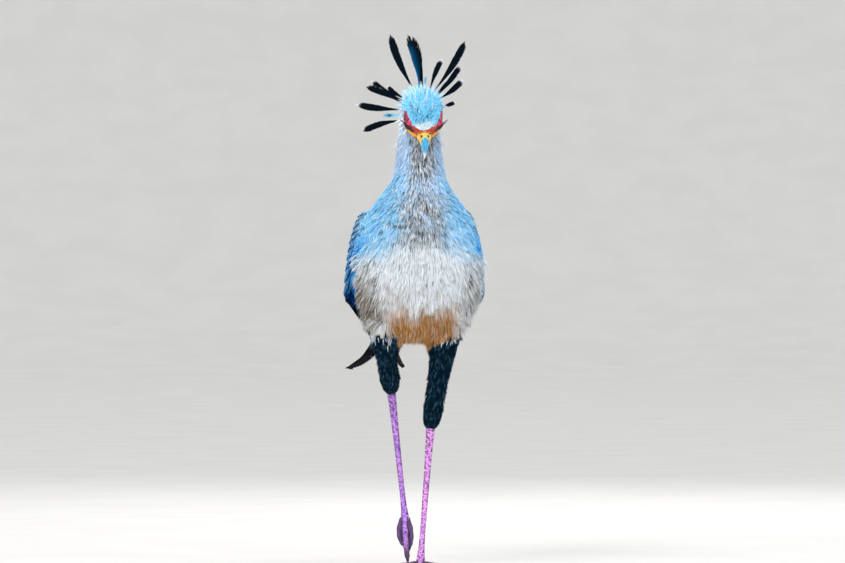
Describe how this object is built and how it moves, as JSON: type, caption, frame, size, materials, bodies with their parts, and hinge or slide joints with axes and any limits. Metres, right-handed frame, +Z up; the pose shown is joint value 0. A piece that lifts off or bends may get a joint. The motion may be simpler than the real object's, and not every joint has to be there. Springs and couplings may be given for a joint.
{
  "type": "secretary bird",
  "caption": "Life-size still model of a secretary bird in mid stride, crest raised, head lowered, one foot lifted.",
  "frame": {"origin": "centre of the flat pad under the standing left foot, on the floor", "axes": "+Z up along the bird's height, -Y the way it walks and faces, +X towards its left side"},
  "size_m": [0.3426, 1.087, 1.2698],
  "materials": {
    "body_plumage": "soft overlapping feathers, sky blue on the crown and shoulders, cream on the breast",
    "wing_feathers": "laid feathers, blue coverts and black flight feathers",
    "black_feathers": "smooth black vanes with pale tips",
    "black_plumage": "short dense black feathers with a teal sheen",
    "leg_skin": "scaly pink and violet skin with dark spots",
    "bill": "smooth horn, blue, with a yellow cere",
    "claws": "smooth black horn",
    "eyes": "wet, dark brown"
  },
  "bodies": {
    "root": {"bill_lower": "bill", "bill_upper": "bill", "claw_hind_left": "claws", "claw_hind_right": "claws", "claw_inner_left": "claws", "claw_inner_right": "claws", "claw_middle_left": "claws", "claw_middle_right": "claws", "claw_outer_left": "claws", "claw_outer_right": "claws", "crest_plume_01": "black_feathers", "crest_plume_02": "black_feathers", "crest_plume_03": "black_feathers", "crest_plume_04": "black_feathers", "crest_plume_05": "black_feathers", "crest_plume_06": "black_feathers", "crest_plume_07": "black_feathers", "crest_plume_08": "black_feathers", "crest_plume_09": "black_feathers", "crest_plume_10": "black_feathers", "crest_plume_11": "black_feathers", "crest_plume_12": "black_feathers", "crest_plume_13": "black_feathers", "crest_plume_14": "black_feathers", "crest_plume_15": "black_feathers", "crest_plume_16": "black_feathers", "eye_left": "eyes", "eye_right": "eyes", "head": "body_plumage", "neck": "body_plumage", "tail": "black_feathers", "tail_streamer_left": "black_feathers", "tail_streamer_right": "black_feathers", "tarsus_left": "leg_skin", "tarsus_right": "leg_skin", "thigh_left": "black_plumage", "thigh_right": "black_plumage", "toe_hind_left": "leg_skin", "toe_hind_right": "leg_skin", "toe_inner_left": "leg_skin", "toe_inner_right": "leg_skin", "toe_middle_left": "leg_skin", "toe_middle_right": "leg_skin", "toe_outer_left": "leg_skin", "toe_outer_right": "leg_skin", "trunk": "body_plumage", "wing_left": "wing_feathers", "wing_right": "wing_feathers"}
  },
  "joints": []
}
